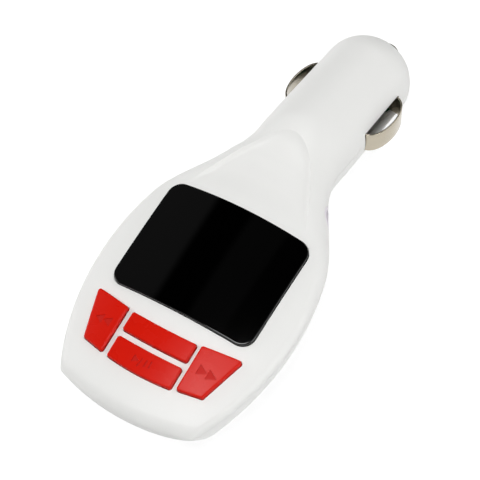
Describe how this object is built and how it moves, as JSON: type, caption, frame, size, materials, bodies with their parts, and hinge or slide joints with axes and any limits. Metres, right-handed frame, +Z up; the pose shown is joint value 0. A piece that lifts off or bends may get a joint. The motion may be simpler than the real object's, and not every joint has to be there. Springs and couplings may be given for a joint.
{
  "type": "car fm transmitter",
  "caption": "Paddle-shaped car FM transmitter with a crowned face, display window, push buttons and a bent round power plug with side springs.",
  "frame": {"origin": "on the table under the middle of the part's bounding box", "axes": "+Y towards the plug's tip, +Z up, away from the table, with the display facing up; the part lies on its heel and on the end of its barrel"},
  "size_m": [0.0476, 0.109, 0.0253],
  "materials": {
    "shell": "satin off-white moulded plastic",
    "window": "gloss black, smoked",
    "display": "dark display glass",
    "diffuser": "milky light guide",
    "white_plastic": "satin",
    "ribbon": "satin amber film",
    "board": "satin solder mask",
    "button": "semi-gloss red",
    "plunger": "satin",
    "black_plastic": "satin",
    "tin": "tinned sheet",
    "gilt": "gold plated",
    "ferrite": "matt",
    "sleeve": "shrink sleeve",
    "nickel": "nickel plated",
    "red_wire": "satin",
    "black_wire": "satin",
    "screw": "zinc plated"
  },
  "bodies": {
    "housing": {"top_shell": "shell", "bottom_shell": "shell", "display_window": "window", "lcd_panel": "display", "lcd_backlight": "diffuser", "lcd_frame": "white_plastic", "lcd_ribbon": "ribbon", "main_board": "board", "switch_bodies": "black_plastic", "usb_can": "tin", "usb_tongue": "white_plastic", "usb_contacts": "gilt", "card_socket": "tin", "audio_jack": "black_plastic", "decoder_chip": "black_plastic", "transmitter_chip": "black_plastic", "crystal": "tin", "power_board": "board", "power_inductor": "ferrite", "power_capacitor": "sleeve", "regulator_chip": "black_plastic", "contact_coil": "nickel", "contact_seat": "board", "tip_lead": "red_wire", "supply_wire": "red_wire", "ground_wire": "black_wire", "housing_screws": "screw"},
    "button_previous": {"button_previous": "button", "plunger_previous": "plunger"},
    "button_channel": {"button_channel": "button", "plunger_channel": "plunger"},
    "button_play": {"button_play": "button", "plunger_play": "plunger"},
    "button_next": {"button_next": "button", "plunger_next": "plunger"},
    "centre_contact": {"centre_contact": "nickel"},
    "ground_spring_left": {"ground_spring_left": "nickel"},
    "ground_spring_right": {"ground_spring_right": "nickel"}
  },
  "joints": [
    {"name": "press_previous", "type": "slide", "parent": "housing", "child": "button_previous", "axis": [0, 0.1143, -0.9934], "range_m": [0, 0.0004], "stiffness_N_per_m": 4000, "springref_m": -0.0003},
    {"name": "press_channel", "type": "slide", "parent": "housing", "child": "button_channel", "axis": [0, 0.1143, -0.9934], "range_m": [0, 0.0004], "stiffness_N_per_m": 4000, "springref_m": -0.0003},
    {"name": "press_play", "type": "slide", "parent": "housing", "child": "button_play", "axis": [0, 0.1143, -0.9934], "range_m": [0, 0.0004], "stiffness_N_per_m": 4000, "springref_m": -0.0003},
    {"name": "press_next", "type": "slide", "parent": "housing", "child": "button_next", "axis": [0, 0.1143, -0.9934], "range_m": [0, 0.0004], "stiffness_N_per_m": 4000, "springref_m": -0.0003},
    {"name": "contact_push", "type": "slide", "parent": "housing", "child": "centre_contact", "axis": [0, -0.9835, 0.1811], "range_m": [0, 0.0015], "stiffness_N_per_m": 2000, "springref_m": -0.001, "deforming": ["contact_coil"]},
    {"name": "spring_left_press", "type": "slide", "parent": "housing", "child": "ground_spring_left", "axis": [1, 0, 0], "range_m": [0, 0.0026], "stiffness_N_per_m": 3000, "springref_m": -0.0005},
    {"name": "spring_right_press", "type": "slide", "parent": "housing", "child": "ground_spring_right", "axis": [-1, 0, 0], "range_m": [0, 0.0026], "stiffness_N_per_m": 3000, "springref_m": -0.0005}
  ]
}
